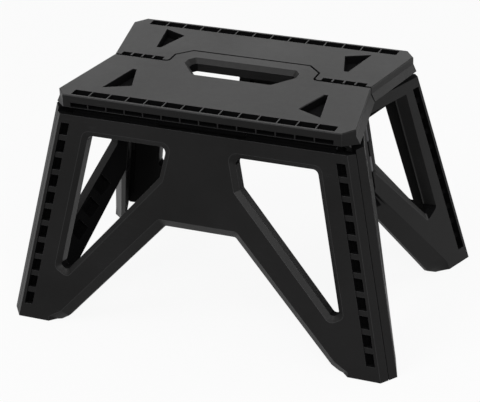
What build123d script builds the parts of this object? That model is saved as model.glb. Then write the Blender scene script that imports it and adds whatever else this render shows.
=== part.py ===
from build123d import *
import os
from math import atan2, cos, pi, sin, tan

os.makedirs("parts", exist_ok=True)

# Seat outline: two halves that meet at a seam, narrowed at the waist
stool_height = 225.0
seat_half_depth = 95.0
seat_straight_half = 135.3
seat_corner_half = 144.6
seat_corner_y = 82.6
waist_half = 128.9
seam_y = 4.9
seam_gap = 1.2
rim_height = 12.4
seat_skin = 3.4
edge_break = 0.8

# Tongue of the front half, with the hand slot through it
tongue_half = 72.5
tongue_rear_y = 34.0
tongue_cut = 13.3
tongue_gap = 0.6
tongue_round = 4.0
slot_rear_y = 20.0
slot_front_y = -18.0
slot_rear_half = 51.0
slot_side_half = 56.5
slot_side_y = 13.0
slot_shoulder_y = 4.0
slot_front_half = 39.5
slot_bevel = 4.3
slot_round = 3.0

# Grip cells along the outer edges, seam notches and triangular pockets
cell_count = 7
cell_pitch = 18.35
cell_rib = 1.2
cell_wall = 3.0
cell_length = 10.0
cell_depth = 6.4
rim_cell_lip = 0.6
rim_cell_height = 4.4
rim_cell_reach = 5.0
notch_count = 4
notch_pitch = 11.2
notch_width = 9.5
notch_start = 80.0
notch_length = 6.5
notch_depth = 7.0
front_pocket = [(107.0, -70.0), (97.5, -22.5), (93.0, -23.0), (81.5, -58.5)]
rear_pocket = [(106.0, 75.5), (97.5, 31.5), (93.0, 31.5), (82.5, 65.0)]
pocket_depth = 8.0
pocket_bevel = 2.6
under_columns = 2
under_rib = 2.2
under_clear = 4.5

# End skirts of the seat halves
skirt_band = 7.0
skirt_flare = 3.5
skirt_height = 14.0
skirt_wall = 3.0

# Front and rear legs
foot_y = 131.1
leg_top_y = 94.1
leg_top_gap = 8.3
leg_foot_half = 182.9
leg_top_half = 140.1
leg_thickness = 14.0
leg_bevel = 5.0
leg_bevel_depth = 3.3
leg_column = 26.4
leg_beam = 13.2
window_inner_half = 27.0
window_shoulder_half = 34.9
window_shoulder_drop = 37.0
window_tip_half = 131.6
window_tip_low = 47.8
window_tip_high = 55.4
arch_half = 35.0
arch_drop = 81.8
arch_foot_half = 133.0
arch_foot_rise = 6.0
arch_toe_half = 143.0
arch_bevel = 8.2
arch_bevel_depth = 8.0
leg_cell_depth = 10.2
strut_cell_length = 22.0
strut_cell_width = 15.0
strut_cell_start = 51.0
strut_cell_rise = 8.9
strut_cell_end = 121.0
strut_cell_low = 43.0
strut_cell_count = 4
post_cell_width = 21.0
post_cell_x = 13.5
post_cell_low = 13.4
post_cell_high = 11.4
post_cell_rib = 5.0
beam_cell_height = 10.0
beam_cell_drop = 9.6
beam_cell_count = 3
beam_cell_rib = 2.5

# Openings down the corner columns
hole_top_margin = 13.0
hole_width = 8.5
hole_height = 12.0
hole_pitch = 17.3
hole_first = 20.3
hole_inset = 3.0
leg_hole_depth = 9.0
end_hole_depth = 7.6
leg_web_recess = 1.0
end_web_recess = 3.0

# Folding ends, each of two panels hinged at the middle of the side
end_edge_x = 193.8
end_edge_y = 116.0
end_slope = 0.37
end_top_gap = 3.5
end_thickness = 11.5
end_cell_depth = 8.0
end_bevel = 5.0
end_bevel_depth = 3.0
end_beam = 11.2
end_column_top = 22.0
end_column_foot = 25.0
end_window_foot = 71.0
end_window_tip_run = 57.0
end_window_tip_rise = 62.5
end_window_waist = 138.6
fold_post = 5.3
end_foot = 31.5
end_toe_run = 34.5
end_toe_rise = 9.8
end_arch_lean = 0.843
end_sole = 43.0
end_instep_run = 56.6
end_instep_rise = 7.0
end_throat_lean = 0.777
end_arch_depth = 7.4
end_cell_length = 20.0
end_cell_width = 15.0
end_cell_start = 64.0
end_cell_low = 53.5
end_cell_end = 108.0
end_cell_high = 111.5
end_cell_count = 3
corner_seam_gap = 0.7
fold_gap = 0.4
fold_stand = 0.25

# Hinges
rod_radius = 1.5
rod_fit = 0.05
knuckle_radius = 2.6
knuckle_sides = 8
knuckle_gap = 0.35
knuckle_end_gap = 0.6
seat_axis_in = 6.6
seat_axis_up = 3.2
seat_hinge_half = 128.5
seat_hinge_count = 3
seat_rod_inner = 2.0
seat_neck_in = 6.0
leg_neck = 4.0
centre_axis_drop = 6.6
centre_hinge_start = 77.0
centre_hinge_end = 106.0
centre_arm = 13.0
centre_hinge_count = 2
corner_axis_in = 1.3
corner_hinge_start = 14.0
corner_hinge_top = 11.6
corner_hinge_count = 3
fold_hinge_start = 128.6
fold_hinge_top = 4.2
fold_hinge_count = 5
saddle_gap = 0.3

# Moulded corners of the openings, and the share of them kept in the throat
opening_round = 4.0
window_top_round = 8.0
window_tip_round = 6.6
arch_top_round = 6.0
throat_round = 0.7

# Spare length of blanks and cuts, trimmed away or outside the part, and depth of a joint's root
spare = 30.0
root = 1.0
sharp_corners = []

# Heights, directions and hinge lines that follow from the sizes above
seat_under_z = stool_height - rim_height
leg_top_z = seat_under_z - leg_top_gap
end_top_z = stool_height - skirt_height - end_top_gap
centre_axis_z = seat_under_z - centre_axis_drop
tilt = atan2(foot_y - leg_top_y, leg_top_z)
leg_length = leg_top_z / cos(tilt)
window_top = leg_length - leg_beam
arch_height = window_top - arch_drop
corner_hinge_end = leg_length - corner_hinge_top
hole_count = int((leg_length - hole_top_margin - hole_first) / hole_pitch) + 1
leg_up = Vector(0, sin(tilt), cos(tilt))
leg_out = Vector(0, -cos(tilt), sin(tilt))
leg_face = Plane(origin=(0, -foot_y, 0), x_dir=(1, 0, 0), z_dir=leg_out)
corner_lean = (leg_foot_half - leg_top_half) / leg_top_z
leg_lean = corner_lean * cos(tilt)
corner_dir = Vector(-corner_lean, tan(tilt), 1).normalized()

end_along = Vector(-end_slope, 1, 0).normalized()
end_out = end_along.cross(corner_dir).normalized()
end_corner = Vector(end_edge_x, -end_edge_y, 0)
end_face = Plane(origin=end_corner, x_dir=end_along, z_dir=end_out)
end_lean = corner_dir.dot(end_along) / corner_dir.dot(end_face.y_dir)
end_length = end_top_z / end_face.y_dir.Z
end_window_top = end_length - end_beam
fold_hinge_end = end_length - fold_hinge_top

seat_top = Plane.XY.offset(stool_height)
seat_bottom = Plane.XY.offset(seat_under_z)
front_seam_y = seam_y - seam_gap / 2
rear_seam_y = seam_y + seam_gap / 2

leg_top = Vector(0, -leg_top_y, leg_top_z)
seat_pivot = leg_top - leg_out * seat_axis_in + leg_up * seat_axis_up
seat_axis = Axis(seat_pivot, (1, 0, 0))
centre_axis = Axis((0, 0, centre_axis_z), (1, 0, 0))
corner_y = -foot_y + (leg_thickness + corner_axis_in) / cos(tilt)
corner_x = end_edge_x - (end_thickness + corner_axis_in + end_out.Y * (corner_y + end_edge_y)) / end_out.X
corner_axis = Axis((corner_x, corner_y, 0), corner_dir)
fold_dir = Vector(-end_out.Z, 0, end_out.X).normalized()
fold_x = end_edge_x + (fold_stand - end_out.Y * end_edge_y) / end_out.X
fold_axis = Axis((fold_x, 0, 0), fold_dir)
fold_lean = fold_dir.dot(end_along) / fold_dir.dot(end_face.y_dir)
fold_reach = end_edge_y / end_along.Y

# The bevelled corner between a leg and an end, and the seam that parts them there
leg_edge = Vector(leg_foot_half, -foot_y, 0)
corner_run = end_corner - leg_edge
corner_bevel = Plane(origin=leg_edge, z_dir=corner_run.cross(corner_dir))
seam_dir = leg_edge + corner_run * 0.5 - corner_axis.position
corner_seam = Plane(origin=corner_axis.position, z_dir=corner_dir.cross(seam_dir))


# Edges of a leg and of an end panel at a height on its face
def leg_side(rise):
    return leg_foot_half - leg_lean * rise


def end_side(rise):
    return end_lean * rise


def fold_side(rise):
    return fold_reach + fold_lean * rise


def point_on(axis, distance):
    return axis.position + axis.direction * distance


def turned(axis, x_sign, y_sign):
    place = axis.position
    way = axis.direction
    return Axis((place.X * x_sign, place.Y * y_sign, place.Z), (way.X * x_sign, way.Y * y_sign, way.Z))


def stations(axis, begin, finish, count, first, gap, side_dir=None):
    step = (finish - begin) / count
    starts = [begin + step * i + gap / 2 for i in range(first, count, 2)]
    return [Plane(origin=point_on(axis, s), x_dir=side_dir, z_dir=axis.direction) for s in starts]


def rounded_outline(face, points, radii, growth):
    with BuildSketch(face) as outline:
        Polygon(*points, align=None)
        if growth:
            offset(amount=growth, kind=Kind.INTERSECTION, mode=Mode.REPLACE)
        for point, radius in zip(points, radii):
            if radius:
                fillet(outline.vertices().sort_by_distance(point)[0], radius)
    return outline.sketch


def flared_cut(face, rim, throat, depth, through):
    # an opening whose rim on the face is wider than its throat
    loft([rim, throat], ruled=True, mode=Mode.SUBTRACT)
    extrude(throat, amount=depth - through, dir=face.z_dir, mode=Mode.SUBTRACT)


def bevelled_cut(face, points, radii, grow, shrink, depth, through):
    rim = rounded_outline(face, points, radii, grow)
    throat_radii = [radius * throat_round for radius in radii]
    throat = rounded_outline(face.offset(-depth), points, throat_radii, -shrink)
    flared_cut(face, rim, throat, depth, through)


def barrels(axis, begin, finish, count, first):
    with BuildSketch(*stations(axis, begin, finish, count, first, knuckle_end_gap)) as ends:
        RegularPolygon(knuckle_radius, knuckle_sides)
    extrude(ends.sketch, amount=(finish - begin) / count - knuckle_end_gap, dir=axis.direction)


def room_for_barrels(axis, begin, finish, count, first):
    with BuildSketch(*stations(axis, begin, finish, count, first, 0)) as ends:
        RegularPolygon((knuckle_radius + knuckle_gap) / cos(pi / knuckle_sides), knuckle_sides)
    extrude(ends.sketch, amount=(finish - begin) / count, dir=axis.direction, mode=Mode.SUBTRACT)


def bore(axis, begin, finish, radius):
    with BuildSketch(Plane(origin=point_on(axis, begin), z_dir=axis.direction)) as mouth:
        Circle(radius)
    extrude(mouth.sketch, amount=finish - begin, dir=axis.direction, mode=Mode.SUBTRACT)


def hole_column(face, column_x, lean, recess, depth):
    levels = [hole_first + hole_pitch * i for i in range(hole_count)]
    low = levels[0] - hole_height / 2
    high = levels[-1] + hole_height / 2
    with BuildSketch(face) as strip:
        Polygon(
            (column_x(low), low),
            (column_x(low) + hole_width, low),
            (column_x(high) + hole_width, high),
            (column_x(high), high),
            align=None,
        )
    extrude(strip.sketch, amount=-recess, dir=face.z_dir, mode=Mode.SUBTRACT)
    shift = lean * hole_height / 2
    with BuildSketch(face) as holes:
        with Locations(*[(column_x(v), v) for v in levels]):
            Polygon(
                (shift, -hole_height / 2),
                (hole_width + shift, -hole_height / 2),
                (hole_width - shift, hole_height / 2),
                (-shift, hole_height / 2),
                align=None,
            )
    extrude(holes.sketch, amount=-depth, dir=face.z_dir, mode=Mode.SUBTRACT)


def back_cells(back, depth, places, width, height):
    with BuildSketch(back) as cells:
        with Locations(*places):
            Rectangle(width, height)
    extrude(cells.sketch, amount=depth, dir=back.z_dir, mode=Mode.SUBTRACT)


def strut_places(start, finish, count):
    run = Vector(*finish) - Vector(*start)
    angle = Vector(1, 0, 0).get_signed_angle(run)
    spots = [Vector(*start) + run * ((i + 0.5) / count) for i in range(count)]
    return [Location((p.X, p.Y, 0), (0, 0, angle)) for p in spots]


# Seat features shared by both halves, on the right of the middle, with the outer edge at side * y
def grip_cells(side):
    spots = [cell_pitch * (i + 0.5) for i in range(cell_count)]
    cell_y = side * (seat_half_depth - cell_wall - cell_length / 2)
    with BuildSketch(seat_top) as cells:
        with Locations(*[(x, cell_y) for x in spots]):
            Rectangle(cell_pitch - cell_rib, cell_length)
    extrude(cells.sketch, amount=-cell_depth, dir=seat_top.z_dir, mode=Mode.SUBTRACT)
    rim = Plane(origin=(0, side * seat_half_depth, seat_under_z), x_dir=(-side, 0, 0), z_dir=(0, side, 0))
    with BuildSketch(rim) as rim_cells:
        with Locations(*[(-side * x, rim_cell_lip + rim_cell_height / 2) for x in spots]):
            Rectangle(cell_pitch - cell_rib, rim_cell_height)
    extrude(rim_cells.sketch, amount=-rim_cell_reach, dir=rim.z_dir, mode=Mode.SUBTRACT)


def under_cells(near_y, far_y):
    columns = [cell_pitch * (2 * i + 1) for i in range(under_columns)]
    row = (far_y - near_y) / 2
    spots = [(x, near_y + row * (j + 0.5)) for x in columns for j in (0, 1)]
    with BuildSketch(seat_bottom) as cells:
        with Locations(*spots):
            Rectangle(2 * cell_pitch - under_rib, abs(row) - under_rib)
    extrude(cells.sketch, amount=rim_height - seat_skin, dir=seat_bottom.z_dir, mode=Mode.SUBTRACT)


def skirt_section(place, run, side, flare, height):
    # side is 1 for the rear half of the seat and -1 for the front half
    outward = Vector(0, 0, 1).cross(run).normalized() * side
    with BuildSketch(Plane(origin=(place.X, place.Y, stool_height), x_dir=outward, z_dir=run)) as section:
        Polygon(
            (-skirt_wall, -side * skirt_band),
            (0, -side * skirt_band),
            (flare, -side * height),
            (flare - skirt_wall, -side * height),
            align=None,
        )
    return section.sketch


def end_skirt(side, seam):
    rim_corner = Vector(seat_straight_half, side * seat_half_depth)
    corner = Vector(seat_corner_half, side * seat_corner_y)
    run = Vector(waist_half, seam) - corner
    start = skirt_section(corner, run, side, skirt_flare, skirt_height)
    extrude(start, amount=run.length - skirt_flare * abs(run.X / run.Y), dir=run)
    loft([skirt_section(rim_corner, corner - rim_corner, side, 0, rim_height), start], ruled=True)


# Front half of the seat
with BuildPart() as seat_front:
    with BuildSketch(seat_top) as outline:
        with BuildLine():
            Polyline(
                (0, -seat_half_depth),
                (seat_straight_half, -seat_half_depth),
                (seat_corner_half, -seat_corner_y),
                (waist_half, front_seam_y),
                (tongue_half, front_seam_y),
                (tongue_half, tongue_rear_y - tongue_cut),
                (tongue_half - tongue_cut, tongue_rear_y),
                (0, tongue_rear_y),
                close=True,
            )
        make_face()
        fillet(outline.vertices().sort_by_distance((tongue_half, front_seam_y))[0], tongue_round)
    extrude(amount=-rim_height)
    top_edges = seat_front.faces().sort_by(Axis.Z)[-1].edges()
    chamfer(top_edges.filter_by(lambda e: e.center().X > edge_break), edge_break)
    grip_cells(-1)
    under_cells(slot_front_y - under_clear, -seat_half_depth + cell_wall + cell_length + under_rib)
    bevelled_cut(seat_top, front_pocket, sharp_corners, 0, pocket_bevel, pocket_bevel, pocket_depth)
    end_skirt(-1, front_seam_y)
    mirror(about=Plane.YZ)
    half_slot = [
        (slot_rear_half, slot_rear_y),
        (slot_side_half, slot_side_y),
        (slot_side_half, slot_shoulder_y),
        (slot_front_half, slot_front_y),
    ]
    slot = half_slot + [(-x, y) for x, y in reversed(half_slot)]
    bevelled_cut(seat_top, slot, [slot_round] * len(slot), 0, slot_bevel, slot_bevel, rim_height)
    neck = seat_under_z - seat_pivot.Z
    hinge = (-seat_hinge_half, seat_hinge_half, seat_hinge_count)
    with BuildSketch(*stations(seat_axis, *hinge, 1, knuckle_end_gap, (0, 1, 0))):
        RegularPolygon(knuckle_radius, knuckle_sides)
        Polygon(
            (-knuckle_radius, 0),
            (knuckle_radius, 0),
            (seat_neck_in, neck),
            (seat_neck_in, neck + root),
            (-knuckle_radius, neck + root),
            align=None,
        )
    extrude(amount=2 * seat_hinge_half / seat_hinge_count - knuckle_end_gap)
    bore(seat_axis, -seat_hinge_half, seat_hinge_half, rod_radius + rod_fit)
    for side in (1, -1):
        middle = turned(centre_axis, side, 1)
        hinge = (centre_hinge_start, centre_hinge_end, centre_hinge_count)
        with BuildSketch(*stations(middle, *hinge, 1, knuckle_end_gap, (0, 1, 0))):
            RegularPolygon(knuckle_radius, knuckle_sides)
            with Locations((0, side * (centre_axis_drop + root) / 2)):
                Rectangle(2 * knuckle_radius, centre_axis_drop + root)
        extrude(amount=(centre_hinge_end - centre_hinge_start) / centre_hinge_count - knuckle_end_gap)
        bore(middle, centre_hinge_start, centre_hinge_end, rod_radius + rod_fit)

# Rear half of the seat, notched round the tongue
notch_half = tongue_half + tongue_gap
notch_rear_y = tongue_rear_y + tongue_gap
notch_cut = tongue_cut + tongue_gap * (2 - 2**0.5)
with BuildPart() as seat_rear:
    with BuildSketch(seat_top) as outline:
        with BuildLine():
            Polyline(
                (0, seat_half_depth),
                (seat_straight_half, seat_half_depth),
                (seat_corner_half, seat_corner_y),
                (waist_half, rear_seam_y),
                (notch_half, rear_seam_y),
                (notch_half, notch_rear_y - notch_cut),
                (notch_half - notch_cut, notch_rear_y),
                (0, notch_rear_y),
                close=True,
            )
        make_face()
        fillet(outline.vertices().sort_by_distance((notch_half, rear_seam_y))[0], tongue_round)
    extrude(amount=-rim_height)
    top_edges = seat_rear.faces().sort_by(Axis.Z)[-1].edges()
    chamfer(top_edges.filter_by(lambda e: e.center().X > edge_break), edge_break)
    grip_cells(1)
    under_cells(notch_rear_y + under_clear, seat_half_depth - cell_wall - cell_length - under_rib)
    bevelled_cut(seat_top, rear_pocket, sharp_corners, 0, pocket_bevel, pocket_bevel, pocket_depth)
    with BuildSketch(seat_top):
        with Locations((notch_start + notch_pitch * (notch_count - 1) / 2 + notch_width / 2, rear_seam_y)):
            with GridLocations(notch_pitch, 0, notch_count, 1):
                Rectangle(notch_width, 2 * notch_length)
    extrude(amount=-notch_depth, mode=Mode.SUBTRACT)
    end_skirt(1, rear_seam_y)
    mirror(about=Plane.YZ)
    hinge = (-seat_hinge_half, seat_hinge_half, seat_hinge_count)
    rear_axis = turned(seat_axis, 1, -1)
    with BuildSketch(*stations(rear_axis, *hinge, 1, knuckle_end_gap, (0, 1, 0))):
        RegularPolygon(knuckle_radius, knuckle_sides)
        Polygon(
            (knuckle_radius, 0),
            (-knuckle_radius, 0),
            (-seat_neck_in, neck),
            (-seat_neck_in, neck + root),
            (knuckle_radius, neck + root),
            align=None,
        )
    extrude(amount=2 * seat_hinge_half / seat_hinge_count - knuckle_end_gap)
    bore(rear_axis, -seat_hinge_half, seat_hinge_half, rod_radius + rod_fit)
    for side in (1, -1):
        middle = turned(centre_axis, side, 1)
        hinge = (centre_hinge_start, centre_hinge_end, centre_hinge_count)
        with BuildSketch(*stations(middle, *hinge, 0, knuckle_end_gap, (0, 1, 0))):
            RegularPolygon(knuckle_radius, knuckle_sides)
            Polygon(
                (0, -side * knuckle_radius),
                (centre_arm, side * (centre_axis_drop - root)),
                (centre_arm, side * (centre_axis_drop + root)),
                (rear_seam_y + seam_gap / 2, side * (centre_axis_drop + root)),
                (rear_seam_y + seam_gap / 2, side * (centre_axis_drop - root)),
                (0, side * knuckle_radius),
                align=None,
            )
        extrude(amount=(centre_hinge_end - centre_hinge_start) / centre_hinge_count - knuckle_end_gap)
        bore(middle, centre_hinge_start, centre_hinge_end, rod_radius + rod_fit)

# Front leg: a frame with two windows, an arch and a hole column at each corner
with BuildPart() as front_leg:
    with BuildSketch(leg_face):
        Polygon(
            (0, -spare),
            (leg_foot_half + spare, -spare),
            (leg_foot_half + spare, leg_length),
            (0, leg_length),
            align=None,
        )
    extrude(amount=-leg_thickness)
    split(bisect_by=Plane.XY, keep=Keep.TOP)
    split(bisect_by=corner_bevel, keep=Keep.BOTTOM)
    split(bisect_by=corner_seam.offset(-corner_seam_gap / 2), keep=Keep.BOTTOM)
    leg_window = [
        (window_inner_half, window_top),
        (leg_side(window_top) - leg_column, window_top),
        (leg_side(window_tip_high) - leg_column, window_tip_high),
        (window_tip_half, window_tip_low),
        (window_shoulder_half, window_top - window_shoulder_drop),
    ]
    window_rounds = [window_top_round, window_top_round, window_tip_round, window_tip_round, 0]
    bevelled_cut(leg_face, leg_window, window_rounds, 0, leg_bevel, leg_bevel_depth, leg_thickness)
    leg_arch = [
        (arch_half, arch_height),
        (arch_foot_half, arch_foot_rise),
        (arch_toe_half, 0),
        (arch_toe_half, -spare),
        (-2 * spare, -spare),
        (-2 * spare, arch_height),
    ]
    bevelled_cut(leg_face, leg_arch, [arch_top_round], arch_bevel, 0, arch_bevel_depth, leg_thickness)
    hole_side = hole_inset + hole_width
    hole_column(leg_face, lambda v: leg_side(v) - hole_side, leg_lean, leg_web_recess, leg_hole_depth)
    leg_back = leg_face.offset(-leg_thickness)
    post_low = arch_height + post_cell_low
    post_high = window_top - post_cell_high
    post_cell_height = (post_high - post_low - post_cell_rib) / 2
    post_levels = (post_low + post_cell_height / 2, post_high - post_cell_height / 2)
    post_places = [(post_cell_x, v) for v in post_levels]
    beam_places = [(cell_pitch * (2 * i + 1), leg_length - beam_cell_drop) for i in range(beam_cell_count)]
    strut_start = (strut_cell_start, arch_height + strut_cell_rise)
    strut_end = (strut_cell_end, strut_cell_low)
    strut_spots = strut_places(strut_start, strut_end, strut_cell_count)
    back_cells(leg_back, leg_cell_depth, strut_spots, strut_cell_length, strut_cell_width)
    back_cells(leg_back, leg_cell_depth, post_places, post_cell_width, post_cell_height)
    back_cells(leg_back, leg_cell_depth, beam_places, 2 * cell_pitch - beam_cell_rib, beam_cell_height)
    mirror(about=Plane.YZ)
    hinge = (-seat_hinge_half, seat_hinge_half, seat_hinge_count)
    with BuildSketch(*stations(seat_axis, *hinge, 0, knuckle_end_gap, leg_out * -1)):
        RegularPolygon(knuckle_radius, knuckle_sides)
        with Locations((0, -(seat_axis_up + root) / 2)):
            Rectangle(leg_neck, seat_axis_up + root)
    extrude(amount=2 * seat_hinge_half / seat_hinge_count - knuckle_end_gap)
    bore(seat_axis, -seat_hinge_half, seat_hinge_half, rod_radius + rod_fit)
    for side in (1, -1):
        corner = turned(corner_axis, side, 1)
        room_for_barrels(corner, corner_hinge_start, corner_hinge_end, corner_hinge_count, 0)
        barrels(corner, corner_hinge_start, corner_hinge_end, corner_hinge_count, 1)
        bore(corner, corner_hinge_start, corner_hinge_end, rod_radius + rod_fit)

with BuildPart() as rear_leg:
    mirror(front_leg.part, about=Plane.XZ)


# One panel of a folding end; the middle hinge has eyes on one panel and saddles on the other
def end_panel(has_eyes):
    with BuildSketch(end_face) as blank:
        Polygon(
            (-spare, -spare),
            (fold_reach + spare, -spare),
            (fold_reach + spare, end_length),
            (-spare, end_length),
            align=None,
        )
    extrude(blank.sketch, amount=-end_thickness, dir=end_out)
    split(bisect_by=Plane.XY, keep=Keep.TOP)
    split(bisect_by=corner_bevel, keep=Keep.BOTTOM)
    split(bisect_by=corner_seam.offset(corner_seam_gap / 2), keep=Keep.TOP)
    split(bisect_by=Plane(origin=(0, -fold_gap / 2, 0), z_dir=(0, 1, 0)), keep=Keep.BOTTOM)
    end_window = [
        (end_side(end_window_top) + end_column_top, end_window_top),
        (fold_side(end_window_top) - fold_post, end_window_top),
        (fold_side(end_window_waist) - fold_post, end_window_waist),
        (end_window_tip_run, end_window_tip_rise),
        (end_side(end_window_foot) + end_column_foot, end_window_foot),
    ]
    window_rounds = [0, 0, 0, opening_round, opening_round]
    bevelled_cut(end_face, end_window, window_rounds, 0, end_bevel, end_bevel_depth, end_thickness)
    outlines = []
    for foot, corner, lean, level in (
        (end_foot, (end_toe_run, end_toe_rise), end_arch_lean, 0),
        (end_sole, (end_instep_run, end_instep_rise), end_throat_lean, end_arch_depth),
    ):
        peak = (corner[0] + lean * (end_length - corner[1]), end_length)
        points = [(foot, -spare), (foot, 0), corner, peak, (peak[0] + spare, -spare)]
        outlines.append(rounded_outline(end_face.offset(-level), points, sharp_corners, 0))
    flared_cut(end_face, *outlines, end_arch_depth, end_thickness)
    hole_column(end_face, lambda v: end_side(v) + hole_inset, -end_lean, end_web_recess, end_hole_depth)
    end_back = end_face.offset(-end_thickness)
    end_spots = strut_places((end_cell_start, end_cell_low), (end_cell_end, end_cell_high), end_cell_count)
    back_cells(end_back, end_cell_depth, end_spots, end_cell_length, end_cell_width)
    corner_hinge = (corner_hinge_start, corner_hinge_end, corner_hinge_count)
    fold_hinge = (fold_hinge_start, fold_hinge_end, fold_hinge_count)
    room_for_barrels(corner_axis, *corner_hinge, 1)
    barrels(corner_axis, *corner_hinge, 0)
    bore(corner_axis, corner_hinge_start, corner_hinge_end, rod_radius + rod_fit)
    if has_eyes:
        barrels(fold_axis, *fold_hinge, 0)
        bore(fold_axis, fold_hinge_start, fold_hinge_end, rod_radius + rod_fit)
    else:
        room_for_barrels(fold_axis, *fold_hinge, 0)
        bore(fold_axis, fold_hinge_start - root, fold_hinge_end + root, rod_radius + saddle_gap)


with BuildPart() as right_front_end:
    end_panel(True)

with BuildPart() as saddle_panel:
    end_panel(False)

with BuildPart() as right_rear_end:
    mirror(saddle_panel.part, about=Plane.XZ)

with BuildPart() as left_front_end:
    mirror(right_front_end.part, about=Plane.YZ)

with BuildPart() as left_rear_end:
    mirror(right_rear_end.part, about=Plane.YZ)

panels = {
    "seat_front": seat_front,
    "seat_rear": seat_rear,
    "front_leg": front_leg,
    "rear_leg": rear_leg,
    "right_front_end": right_front_end,
    "right_rear_end": right_rear_end,
    "left_front_end": left_front_end,
    "left_rear_end": left_rear_end,
}
for label, panel in panels.items():
    panel.part.label = label
    export_step(panel.part, f"parts/{label}.step")

# Steel hinge rods
seat_rod = (seat_rod_inner, seat_hinge_half)
centre_rod = (centre_hinge_start, centre_hinge_end)
corner_rod = (corner_hinge_start, corner_hinge_end)
fold_rod = (fold_hinge_start, fold_hinge_end)
rods = {
    "front_seat_rod_right": (turned(seat_axis, 1, 1), seat_rod),
    "front_seat_rod_left": (turned(seat_axis, -1, 1), seat_rod),
    "rear_seat_rod_right": (turned(seat_axis, 1, -1), seat_rod),
    "rear_seat_rod_left": (turned(seat_axis, -1, -1), seat_rod),
    "centre_rod_right": (turned(centre_axis, 1, 1), centre_rod),
    "centre_rod_left": (turned(centre_axis, -1, 1), centre_rod),
    "right_front_corner_rod": (turned(corner_axis, 1, 1), corner_rod),
    "right_rear_corner_rod": (turned(corner_axis, 1, -1), corner_rod),
    "left_front_corner_rod": (turned(corner_axis, -1, 1), corner_rod),
    "left_rear_corner_rod": (turned(corner_axis, -1, -1), corner_rod),
    "right_fold_rod": (turned(fold_axis, 1, 1), fold_rod),
    "left_fold_rod": (turned(fold_axis, -1, 1), fold_rod),
}
for label, (axis, (begin, finish)) in rods.items():
    with BuildPart() as rod:
        with BuildSketch(Plane(origin=point_on(axis, begin), z_dir=axis.direction)):
            Circle(rod_radius)
        extrude(amount=finish - begin)
    rod.part.label = label
    export_step(rod.part, f"parts/{label}.step")
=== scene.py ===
from math import cos, radians, sin, sqrt, tau

import bmesh
import bpy
from mathutils import Euler, Matrix, Vector
from mathutils.bvhtree import BVHTree


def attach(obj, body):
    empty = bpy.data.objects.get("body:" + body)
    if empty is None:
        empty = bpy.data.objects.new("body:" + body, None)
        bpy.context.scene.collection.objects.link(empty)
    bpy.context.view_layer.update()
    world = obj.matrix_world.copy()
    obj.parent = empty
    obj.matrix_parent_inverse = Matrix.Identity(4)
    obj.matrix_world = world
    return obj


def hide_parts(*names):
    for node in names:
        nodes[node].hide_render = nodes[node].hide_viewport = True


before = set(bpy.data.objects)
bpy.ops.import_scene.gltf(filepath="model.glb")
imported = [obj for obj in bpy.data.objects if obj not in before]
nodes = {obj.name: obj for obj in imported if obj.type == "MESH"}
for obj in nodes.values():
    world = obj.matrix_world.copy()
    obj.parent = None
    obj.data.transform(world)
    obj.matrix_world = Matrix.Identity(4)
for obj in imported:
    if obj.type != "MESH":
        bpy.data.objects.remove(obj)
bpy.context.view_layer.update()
scene = bpy.context.scene
print("frame loaded:", len(nodes), "nodes")


# a node with its inputs set by name, or a link where the value is a socket
def addNode(tree, kind, spot, settings=None, **inputs):
    node = tree.nodes.new(kind)
    node.location = spot
    for name, value in (settings or {}).items():
        setattr(node, name, value)
    for name, value in inputs.items():
        numbered = name.startswith("in") and name[2:].isdigit()  # in0, in1: sockets of one name
        socket = node.inputs[int(name[2:]) if numbered else name]
        if isinstance(value, bpy.types.NodeSocket):
            tree.links.new(value, socket)
        else:
            socket.default_value = value
    return node


def newGroup(name, inputs, outputs):
    group = bpy.data.node_groups.new(name, "ShaderNodeTree")
    for label, value in inputs.items():
        socket = group.interface.new_socket(label, in_out="INPUT", socket_type="NodeSocketFloat")
        socket.default_value = value
    for label in outputs:
        group.interface.new_socket(label, in_out="OUTPUT", socket_type="NodeSocketFloat")
    return group, group.nodes.new("NodeGroupInput"), group.nodes.new("NodeGroupOutput")


def noise(tree, spot, place, scale, detail, roughness=0.5):
    node = addNode(
        tree, "ShaderNodeTexNoise", spot, Vector=place, Scale=scale, Detail=detail, Roughness=roughness
    )
    return node.outputs["Fac"]


# where a value lies between two limits, from 0 to 1
def spread(tree, spot, value, low, high):
    node = addNode(tree, "ShaderNodeMapRange", spot, Value=value, **{"From Min": low, "From Max": high})
    return node.outputs["Result"]


def product(tree, spot, first, second):
    node = addNode(tree, "ShaderNodeMath", spot, {"operation": "MULTIPLY"}, in0=first, in1=second)
    return node.outputs["Value"]


# pebbled mould grain, and slow changes of tone where the melt has flowed
grainSizes = {
    "grainScale": 1400.0,
    "grainDetail": 3.0,
    "pitShare": 0.4,
    "flowScale": 9.0,
    "flowDetail": 5.0,
    "flowRoughness": 0.6,
    "flowRange": (0.3, 0.7),
}


def makeMouldGrain(sizes):
    inputs = {
        "Grain Scale": sizes["grainScale"],
        "Flow Scale": sizes["flowScale"],
        "Pit Share": sizes["pitShare"],
    }
    group, given, result = newGroup("mouldGrain", inputs, ["Height", "Tone"])
    place = addNode(group, "ShaderNodeTexCoord", (-900, 0)).outputs["Object"]
    grainScale, flowScale = given.outputs["Grain Scale"], given.outputs["Flow Scale"]
    pebble = addNode(group, "ShaderNodeTexVoronoi", (-650, 150), Vector=place, Scale=grainScale)
    fine = noise(group, (-650, -100), place, grainScale, sizes["grainDetail"])
    height = addNode(
        group,
        "ShaderNodeMix",
        (-400, 80),
        Factor=given.outputs["Pit Share"],
        A=fine,
        B=pebble.outputs["Distance"],
    )
    flow = noise(group, (-650, -350), place, flowScale, sizes["flowDetail"], sizes["flowRoughness"])
    tone = spread(group, (-400, -300), flow, *sizes["flowRange"])
    group.links.new(height.outputs["Result"], result.inputs["Height"])
    group.links.new(tone, result.inputs["Tone"])
    return group


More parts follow.
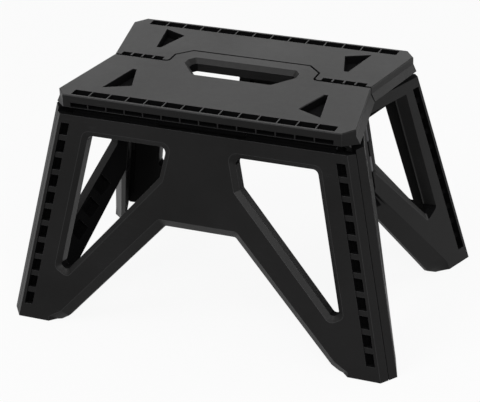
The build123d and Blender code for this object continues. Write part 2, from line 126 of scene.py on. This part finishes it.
# thin scratches that cross each other, gathered in patches
scuffSizes = {
    "lineScale": 60.0,
    "lineDetail": 1.0,
    "lineRange": (0.68, 0.76),
    "tilt": (0.2, 0.1),
    "runs": ((0.5, 26.0), (-0.9, 34.0)),  # turn in radians, and how much longer than wide
    "patchScale": 18.0,
    "patchDetail": 2.0,
    "patchRange": (0.45, 0.7),
    "share": 0.5,
}


def makeScuffs(sizes):
    inputs = {
        "Line Scale": sizes["lineScale"],
        "Patch Scale": sizes["patchScale"],
        "Share": sizes["share"],
    }
    group, given, result = newGroup("scuffs", inputs, ["Mask"])
    place = addNode(group, "ShaderNodeTexCoord", (-1100, 0)).outputs["Object"]
    lineScale, patchScale = given.outputs["Line Scale"], given.outputs["Patch Scale"]
    lines = []
    for row, (turn, stretch) in enumerate(sizes["runs"]):
        height = 200 - 300 * row
        mapping = addNode(
            group,
            "ShaderNodeMapping",
            (-900, height),
            Vector=place,
            Rotation=(*sizes["tilt"], turn),
            Scale=(1.0, stretch, stretch),
        )
        streaks = noise(group, (-700, height), mapping.outputs["Vector"], lineScale, sizes["lineDetail"])
        lines.append(spread(group, (-500, height), streaks, *sizes["lineRange"]))
    crossed = addNode(
        group, "ShaderNodeMath", (-300, 100), {"operation": "MAXIMUM"}, in0=lines[0], in1=lines[1]
    )
    patch = noise(group, (-700, -450), place, patchScale, sizes["patchDetail"])
    patches = spread(group, (-500, -450), patch, *sizes["patchRange"])
    gathered = product(group, (-100, 0), crossed.outputs["Value"], patches)
    mask = product(group, (80, 0), gathered, given.outputs["Share"])
    group.links.new(mask, result.inputs["Mask"])
    return group


# a film of dust on what faces up
dustSizes = {
    "speckScale": 160.0,
    "speckDetail": 6.0,
    "speckRoughness": 0.7,
    "speckRange": (0.35, 0.75),
    "upRange": (0.3, 0.95),
    "share": 0.3,
}


def makeDustFilm(sizes):
    inputs = {"Speck Scale": sizes["speckScale"], "Share": sizes["share"]}
    group, given, result = newGroup("dustFilm", inputs, ["Mask"])
    place = addNode(group, "ShaderNodeTexCoord", (-900, 0)).outputs["Object"]
    speckScale = given.outputs["Speck Scale"]
    face = addNode(group, "ShaderNodeNewGeometry", (-900, -300))
    parts = addNode(group, "ShaderNodeSeparateXYZ", (-700, -300), Vector=face.outputs["True Normal"])
    upward = spread(group, (-500, -300), parts.outputs["Z"], *sizes["upRange"])
    specks = noise(group, (-700, 0), place, speckScale, sizes["speckDetail"], sizes["speckRoughness"])
    speckled = spread(group, (-500, 0), specks, *sizes["speckRange"])
    lying = product(group, (-300, -100), upward, speckled)
    mask = product(group, (-100, -100), lying, given.outputs["Share"])
    group.links.new(mask, result.inputs["Mask"])
    return group


mouldGrain = makeMouldGrain(grainSizes)
scuffs = makeScuffs(scuffSizes)
dustFilm = makeDustFilm(dustSizes)
print("grain, scuffs and dust ready")


def newMaterial(name):
    material = bpy.data.materials.new(name)
    material.use_nodes = True
    tree = material.node_tree
    tree.nodes.clear()
    output = tree.nodes.new("ShaderNodeOutputMaterial")
    output.location = (700, 0)
    shader = tree.nodes.new("ShaderNodeBsdfPrincipled")
    shader.location = (400, 0)
    tree.links.new(shader.outputs["BSDF"], output.inputs["Surface"])
    return material, tree, shader


def mixColour(tree, spot, factor, first, second):
    node = tree.nodes.new("ShaderNodeMix")
    node.data_type = "RGBA"
    node.location = spot
    tree.links.new(factor, node.inputs["Factor"])
    for socket, value in ((node.inputs[6], first), (node.inputs[7], second)):  # the colour sockets
        if isinstance(value, bpy.types.NodeSocket):
            tree.links.new(value, socket)
        else:
            socket.default_value = (*value, 1.0)
    return node.outputs[2]


def placeGroup(tree, group, spot, **inputs):
    node = tree.nodes.new("ShaderNodeGroup")
    node.node_tree = group
    node.location = spot
    for name, value in inputs.items():
        node.inputs[name.replace("_", " ")].default_value = value
    return node


# roughness that varies a little round the finish's own
def varyGloss(tree, shader, value, look):
    low, high = look["roughness"] - look["glossSpread"], look["roughness"] + look["glossSpread"]
    gloss = addNode(tree, "ShaderNodeMapRange", (-350, 0), Value=value, **{"To Min": low, "To Max": high})
    tree.links.new(gloss.outputs["Result"], shader.inputs["Roughness"])


# black moulded plastic; dust lies only on what faces up
def mouldedPlastic(name, look):
    material, tree, shader = newMaterial(name)
    grain = placeGroup(tree, mouldGrain, (-700, 200), Grain_Scale=look["grainScale"])
    marks = placeGroup(tree, scuffs, (-700, -50), Share=look["scuffs"])
    dust = placeGroup(tree, dustFilm, (-700, -250), Share=look["dust"])
    base = mixColour(tree, (-350, 300), grain.outputs["Tone"], look["dark"], look["light"])
    scuffed = mixColour(tree, (-150, 250), marks.outputs["Mask"], base, look["scuffColour"])
    dusty = mixColour(tree, (50, 250), dust.outputs["Mask"], scuffed, look["dustColour"])
    tree.links.new(dusty, shader.inputs["Base Color"])
    varyGloss(tree, shader, grain.outputs["Tone"], look)
    bump = addNode(
        tree,
        "ShaderNodeBump",
        (100, -250),
        Strength=look["grainStrength"],
        Distance=look["grainDepth"],
        Height=grain.outputs["Height"],
    )
    tree.links.new(bump.outputs["Normal"], shader.inputs["Normal"])
    shader.inputs["IOR"].default_value = look["ior"]
    shader.inputs["Specular IOR Level"].default_value = look["shine"]
    return material


panelLook = {
    "dark": (0.0042, 0.0041, 0.0041),
    "light": (0.0074, 0.0072, 0.0073),
    "scuffColour": (0.03, 0.03, 0.031),
    "dustColour": (0.03, 0.03, 0.029),
    "scuffs": 0.4,
    "dust": 0.2,
    "ior": 1.5,
    "shine": 0.105,
    "roughness": 0.45,
    "glossSpread": 0.05,
    "grainScale": 1400.0,
    "grainDepth": 0.00008,
    "grainStrength": 0.5,
}
# edges lighter and shinier than the panel: a painted highlight along the rounded edges
edgeHighlightLook = {
    **panelLook,
    "dark": (0.012, 0.012, 0.0124),
    "light": (0.02, 0.02, 0.0206),
    "shine": 0.25,
    "roughness": 0.38,
    "grainStrength": 0.25,
}
# the inner side: matt as the mould's core leaves it, and reflecting less as painted shade
coreShadeLook = {
    **panelLook,
    "dark": (0.006, 0.006, 0.006),
    "light": (0.009, 0.009, 0.009),
    "scuffs": 0.15,
    "dust": 0.1,
    "shine": 0.03,
    "roughness": 0.7,
}
# darker still: painted shade for recesses, cells, seams and the ends' inner side
recessShadeLook = {
    **coreShadeLook,
    "dark": (0.0025, 0.0025, 0.0026),
    "light": (0.004, 0.004, 0.0042),
    "dust": 0.05,
    "shine": 0.008,
}
panelPlastic = mouldedPlastic("panelPlastic", panelLook)
# a copy of the plastic with the painted edge highlight
rubbedEdge = mouldedPlastic("rubbedEdge", edgeHighlightLook)
# a copy of the plastic with the painted shade of the inner side
shadedCoreSide = mouldedPlastic("shadedCoreSide", coreShadeLook)
# a copy of the plastic with the painted recess shade
recessPlastic = mouldedPlastic("recessPlastic", recessShadeLook)
print("plastic materials ready")


# blackened steel of the hinge rods, drawn along their length
rodLook = {
    "dark": (0.05, 0.05, 0.053),
    "bright": (0.14, 0.14, 0.145),
    "scratch": (0.3, 0.3, 0.3),
    "roughness": 0.4,
    "glossSpread": 0.1,
    "drawScale": 900.0,
    "pits": 0.1,
    "scratchScale": 200.0,
    "scratches": 0.8,
}


def drawnSteel(look):
    material, tree, shader = newMaterial("drawnSteel")
    grain = placeGroup(tree, mouldGrain, (-700, 200), Grain_Scale=look["drawScale"], Pit_Share=look["pits"])
    marks = placeGroup(
        tree, scuffs, (-700, -50), Line_Scale=look["scratchScale"], Share=look["scratches"]
    )
    base = mixColour(tree, (-350, 300), grain.outputs["Tone"], look["dark"], look["bright"])
    scratched = mixColour(tree, (-150, 250), marks.outputs["Mask"], base, look["scratch"])
    tree.links.new(scratched, shader.inputs["Base Color"])
    varyGloss(tree, shader, grain.outputs["Height"], look)
    shader.inputs["Metallic"].default_value = 1.0
    return material


rodSteel = drawnSteel(rodLook)

# moulded panels: a merged copy of each solid's mesh gets rounded edges, and materials of its own:
# a painted highlight for those edges, painted shade for the inner side, which the mould's core also leaves
# matt, and darker painted shade for recesses
panelMaterials = (panelPlastic, rubbedEdge, shadedCoreSide, recessPlastic)
# slots for painted light: 1 the edge highlight, 2 the inner side's shade, 3 the recess and seam shade
edgeHighlightSlot, coreShadeSlot, recessShadeSlot = 1, 2, 3  # places in panelMaterials
edgeRounding = {
    "radius": 0.0006,
    "steps": 2,
    "profile": 0.5,
    "sharpest": radians(25),  # edges that turn by less stay as they are
    "weld": 0.00001,
    "flat": radians(0.6),
}
coreFacing = -0.7  # how far a face is turned from the outer side to belong to the inner one
panelOutside = {
    "seat_front": Vector((0, 0, 1)),
    "seat_rear": Vector((0, 0, 1)),
    "front_leg": Vector((0, -1, 0)),
    "rear_leg": Vector((0, 1, 0)),
    "right_front_end": Vector((1, 0, 0)),
    "right_rear_end": Vector((1, 0, 0)),
    "left_front_end": Vector((-1, 0, 0)),
    "left_rear_end": Vector((-1, 0, 0)),
}


# the end windows are scooped on their column side: the bevel there runs on almost to the inner rim
windowScoop = {
    "run": 0.8,
    "faceAway": 0.2,
    "faceFull": 0.8,
    "shallowest": 0.006,
    "skinFacing": 0.8,
    "wallFacing": 0.1,
    "bevelFacing": (0.6, 0.95),
    "straightIn": 0.99,
}


def scoopWindow(work, outside, sizes):
    outer = [f for f in work.faces if f.normal.dot(outside) > sizes["skinFacing"]]
    skin = max(outer, key=lambda f: f.calc_area()).normal.copy()
    steepest, flattest = sizes["bevelFacing"]
    facings = {}
    for edge in work.edges:
        if len(edge.link_faces) != 2:
            continue
        wall, bevel = sorted(edge.link_faces, key=lambda f: f.normal.dot(skin))
        if abs(wall.normal.dot(skin)) > sizes["wallFacing"]:
            continue
        if not steepest < bevel.normal.dot(skin) < flattest:
            continue
        for corner in edge.verts:
            facing = -wall.normal.y if corner.co.y > 0 else wall.normal.y  # towards the fold line
            facings[corner] = max(facing, facings.get(corner, -1.0))
    moves = {}
    for corner, facing in facings.items():
        inward = [e.other_vert(corner).co - corner.co for e in corner.link_edges]
        inward = [d for d in inward if d.normalized().dot(skin) < -sizes["straightIn"]]
        inward = [d for d in inward if d.length > sizes["shallowest"]]
        share = (facing - sizes["faceAway"]) / (sizes["faceFull"] - sizes["faceAway"])
        if inward and share > 0:
            moves[corner] = inward[0] * min(share, 1.0) * sizes["run"]
    for corner, move in moves.items():
        corner.co += move


# the grip pockets have steep walls up to a narrow rim
pocketRim = {
    "keep": 0.3,
    "deepest": 0.012,
    "bevelDepth": 0.002,
    "bevelFacing": (0.6, 0.8),
    "topSlack": 0.0001,
    "sideSlack": 0.0005,
}


def steepenPockets(work, sizes):
    top = max(v.co.z for v in work.verts)
    steepest, flattest = sizes["bevelFacing"]
    shifts = {}
    for edge in work.edges:
        high, low = sorted(edge.verts, key=lambda v: -v.co.z)
        bevels = [f for f in edge.link_faces if steepest < f.normal.z < flattest]
        if len(bevels) != 2 or top - high.co.z > sizes["topSlack"] or top - low.co.z < sizes["bevelDepth"]:
            continue
        floors = [e.other_vert(low) for e in low.link_edges]
        floors = [v for v in floors if (v.co - low.co).xy.length < sizes["sideSlack"] and v.co.z < low.co.z]
        if floors and top - floors[0].co.z < sizes["deepest"]:
            shifts[low] = (high.co - low.co) * (1 - sizes["keep"])
            shifts[floors[0]] = Vector((*shifts[low].xy, 0))
    for corner, shift in shifts.items():
        corner.co += shift


# share of the light round a face that the stool itself keeps off, at rest
shelterTest = {"reach": 0.02, "liftOff": 0.00005, "rings": 4, "spokes": 6, "recess": 0.15}


def shelteredShare(stool, face, sizes):
    turned = face.normal.to_track_quat("Z", "Y").to_matrix()
    start = face.calc_center_median() + face.normal * sizes["liftOff"]
    hits = 0
    for ring in range(sizes["rings"]):
        out = sqrt((ring + 0.5) / sizes["rings"])
        for spoke in range(sizes["spokes"]):
            angle = tau * (spoke + 0.5 * (ring % 2)) / sizes["spokes"]
            ray = turned @ Vector((out * cos(angle), out * sin(angle), sqrt(1 - out * out)))
            hits += stool.ray_cast(start, ray, sizes["reach"])[0] is not None
    return hits / (sizes["rings"] * sizes["spokes"])


def roundedPanel(name, outside, sizes):
    work = bmesh.new()
    work.from_mesh(nodes[name].data)
    bmesh.ops.remove_doubles(work, verts=work.verts, dist=sizes["weld"])
    bmesh.ops.dissolve_limit(work, angle_limit=sizes["flat"], verts=work.verts, edges=work.edges)
    if name.endswith("_end"):
        scoopWindow(work, outside, windowScoop)
    if name.startswith("seat"):
        steepenPockets(work, pocketRim)
    work.normal_update()
    corners = [e for e in work.edges if e.is_manifold and e.is_convex]
    corners = [e for e in corners if e.calc_face_angle(0) > sizes["sharpest"]]
    # the rounded edges take the painted highlight material
    bmesh.ops.bevel(
        work,
        geom=corners,
        offset=sizes["radius"],
        offset_type="OFFSET",
        segments=sizes["steps"],
        profile=sizes["profile"],
        affect="EDGES",
        clamp_overlap=True,
        material=edgeHighlightSlot,
    )
    bmesh.ops.triangulate(work, faces=[f for f in work.faces if len(f.verts) > 4])
    return work


# one tree of all the panels, to find pockets, cells and seams for the painted recess shade
def stoolTree(panels):
    places, faces = [], []
    for work in panels.values():
        work.verts.index_update()
        first = len(places)
        places.extend(v.co.copy() for v in work.verts)
        faces.extend([first + v.index for v in f.verts] for f in work.faces)
    return BVHTree.FromPolygons(places, faces)


def placeShadedPanel(name, work, outside, stool):
    # inner faces get painted shade, darkest on the ends; faces the stool shelters get the darker painted
    # shade too
    innerShadeSlot = recessShadeSlot if name.endswith("_end") else coreShadeSlot  # the ends are darkest inside
    for face in work.faces:
        if face.normal.dot(outside) < coreFacing:
            face.material_index = innerShadeSlot
        elif shelteredShare(stool, face, shelterTest) > shelterTest["recess"]:
            face.material_index = recessShadeSlot
    mesh = bpy.data.meshes.new(name + "_moulding")
    work.to_mesh(mesh)
    work.free()
    panel = bpy.data.objects.new(name + "_moulding", mesh)
    scene.collection.objects.link(panel)
    for finish in panelMaterials:
        panel.data.materials.append(finish)
    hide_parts(name)
    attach(panel, name)
    return len(mesh.polygons)


panels = {name: roundedPanel(name, outside, edgeRounding) for name, outside in panelOutside.items()}
stool = stoolTree(panels)
for name, outside in panelOutside.items():
    print("panel", name, placeShadedPanel(name, panels[name], outside, stool), "faces")

for name, rod in nodes.items():
    if name not in panelOutside:
        rod.data.materials.clear()
        rod.data.materials.append(rodSteel)
print("rods finished")

# floor and light
floorLook = {"size": 12.0, "drop": 0.0002, "colour": (0.5, 0.5, 0.5), "white": 0.92}


# how much of the white background a ray gets: from the camera, through glass or by a reflection
def whiteRays(tree, spot, share):
    path = addNode(tree, "ShaderNodeLightPath", spot)
    white = 0.0
    for step, kind in enumerate(("Is Camera Ray", "Is Transmission Ray", "Is Glossy Ray")):
        part = addNode(
            tree,
            "ShaderNodeMath",
            (spot[0] + 180 * (step + 1), spot[1] - 120 * step),
            {"operation": "MULTIPLY_ADD"},
            in0=path.outputs[kind],
            in1=share,
            in2=white,
        )
        white = part.outputs["Value"]
    return white


def makeFloor(look):
    half = look["size"] / 2
    mesh = bpy.data.meshes.new("floor")
    corners = [(-half, -half, 0), (half, -half, 0), (half, half, 0), (-half, half, 0)]
    mesh.from_pydata(corners, [], [(0, 1, 2, 3)])
    floor = bpy.data.objects.new("floor", mesh)
    floor.location.z = -look["drop"]
    scene.collection.objects.link(floor)
    material = bpy.data.materials.new("paleFloor")
    material.use_nodes = True
    tree = material.node_tree
    tree.nodes.clear()
    output = addNode(tree, "ShaderNodeOutputMaterial", (600, 0))
    matt = addNode(tree, "ShaderNodeBsdfDiffuse", (0, 100), Color=(*look["colour"], 1.0))
    white = addNode(tree, "ShaderNodeEmission", (0, -100), Strength=1.0)
    share = whiteRays(tree, (-600, 300), look["white"])
    mix = addNode(tree, "ShaderNodeMixShader", (300, 0), Fac=share)
    tree.links.new(matt.outputs["BSDF"], mix.inputs[1])
    tree.links.new(white.outputs["Emission"], mix.inputs[2])
    tree.links.new(mix.outputs["Shader"], output.inputs["Surface"])
    floor.data.materials.append(material)


makeFloor(floorLook)

lamps = {
    "rearBox": {"place": (-0.7, 1.7, 1.3), "aim": (0, 0, 0.2), "size": 1.8, "power": 11.0},
    "overheadBox": {"place": (0.0, 0.0, 2.1), "aim": (0, 0, 0.2), "size": 1.6, "power": 22.0},
    "frontBox": {"place": (1.1, -1.7, 1.35), "aim": (0, 0, 0.1), "size": 1.0, "power": 34.0},
    "sideBox": {"place": (1.95, 1.3, 0.85), "aim": (0, 0, 0.15), "size": 1.0, "power": 16.0},
    "leftBox": {"place": (-0.85, -1.25, 1.95), "aim": (0, 0, 0.15), "size": 1.0, "power": 26.0},
}


def makeLamp(name, lamp):
    light = bpy.data.lights.new(name, "AREA")
    light.size = lamp["size"]
    light.energy = lamp["power"]
    holder = bpy.data.objects.new(name, light)
    holder.location = lamp["place"]
    beam = Vector(lamp["aim"]) - Vector(lamp["place"])
    holder.rotation_euler = beam.to_track_quat("-Z", "Y").to_euler()
    scene.collection.objects.link(holder)


for name, lamp in lamps.items():
    makeLamp(name, lamp)

roomLook = {"glow": (0.05, 0.05, 0.05), "backdrop": (1.0, 1.0, 1.0), "white": 1.0}


def makeRoom(look):
    world = bpy.data.worlds.new("studio")
    scene.world = world
    world.use_nodes = True
    tree = world.node_tree
    tree.nodes.clear()
    output = addNode(tree, "ShaderNodeOutputWorld", (500, 0))
    glow = addNode(tree, "ShaderNodeBackground", (0, 100), Color=(*look["glow"], 1.0))
    backdrop = addNode(tree, "ShaderNodeBackground", (0, -100), Color=(*look["backdrop"], 1.0))
    share = whiteRays(tree, (-600, 250), look["white"])
    mix = addNode(tree, "ShaderNodeMixShader", (250, 0), Fac=share)
    tree.links.new(glow.outputs["Background"], mix.inputs[1])
    tree.links.new(backdrop.outputs["Background"], mix.inputs[2])
    tree.links.new(mix.outputs["Shader"], output.inputs["Surface"])


makeRoom(roomLook)
scene.view_settings.view_transform = "Standard"
print("floor, lamps and room ready")

# camera fitted to the photograph; angles in degrees, the turn is from straight in front
cameraView = {
    "turn": 23.045,
    "down": 27.767,
    "roll": -2.2,
    "distance": 1.83973,
    "target": (-0.003, 0.0, 0.08869),
    "lens": 142.96,
    "sensor": 36.0,
}


def makeCamera(view):
    lens = bpy.data.cameras.new("photoView")
    lens.lens = view["lens"]
    lens.sensor_width = view["sensor"]
    camera = bpy.data.objects.new("photoView", lens)
    facing = Euler((radians(90 - view["down"]), 0, radians(view["turn"]))).to_matrix()
    camera.matrix_world = (facing @ Matrix.Rotation(radians(view["roll"]), 3, "Z")).to_4x4()
    camera.location = Vector(view["target"]) + facing @ Vector((0, 0, view["distance"]))
    scene.collection.objects.link(camera)
    scene.camera = camera


makeCamera(cameraView)

print("scene complete")
